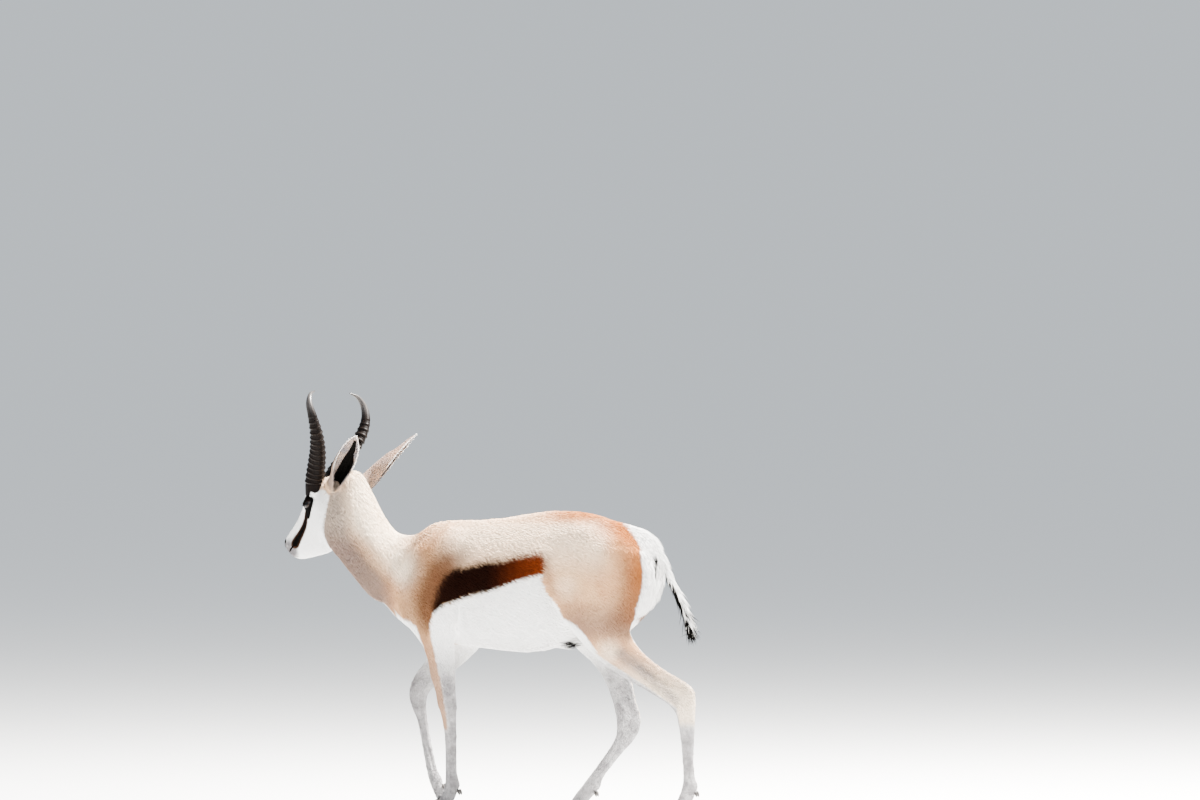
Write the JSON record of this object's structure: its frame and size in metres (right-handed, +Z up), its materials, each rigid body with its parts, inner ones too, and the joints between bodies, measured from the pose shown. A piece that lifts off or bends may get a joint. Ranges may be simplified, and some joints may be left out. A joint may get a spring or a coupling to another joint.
{
  "type": "springbok",
  "caption": "Life-size still model of a springbok ram in a slow walk, head turned slightly aside, with ringed lyre-shaped horns.",
  "frame": {"origin": "centre of the bounding box on the floor", "axes": "the nose points along -X, the animal's left side along -Y, and +Z is up"},
  "size_m": [1.1352, 0.2772, 1.086],
  "materials": {
    "body_fur": "short tan coat with a dark brown flank band, white belly and white rump",
    "head_fur": "short white face coat with a brown cheek stripe and dark eye patch",
    "leg_fur": "short coat, tan above and near white below",
    "ear_fur": "thin grey-brown coat with a dark inner cup and pale rim",
    "tail_fur": "short white coat ending in a dark brown tuft",
    "horn": "dark ringed horn, satin, smooth and glossier at the tips",
    "hoof": "dark horn, satin with fine wear",
    "eye": "wet dark brown, glossy"
  },
  "bodies": {
    "root": {"eye_left": "eye", "eye_right": "eye", "horn_left": "horn", "horn_right": "horn", "ear_left": "ear_fur", "ear_right": "ear_fur", "leg_fore_left": "leg_fur", "leg_fore_right": "leg_fur", "leg_hind_left": "leg_fur", "leg_hind_right": "leg_fur", "tail": "tail_fur", "head": "head_fur", "neck": "body_fur", "torso": "body_fur", "hoof_fore_left_inner": "hoof", "hoof_fore_left_outer": "hoof", "hoof_fore_right_inner": "hoof", "hoof_fore_right_outer": "hoof", "hoof_hind_left_inner": "hoof", "hoof_hind_left_outer": "hoof", "hoof_hind_right_inner": "hoof", "hoof_hind_right_outer": "hoof", "dewclaw_fore_left_inner": "hoof", "dewclaw_fore_left_outer": "hoof", "dewclaw_fore_right_inner": "hoof", "dewclaw_fore_right_outer": "hoof", "dewclaw_hind_left_inner": "hoof", "dewclaw_hind_left_outer": "hoof", "dewclaw_hind_right_inner": "hoof", "dewclaw_hind_right_outer": "hoof"}
  },
  "joints": []
}
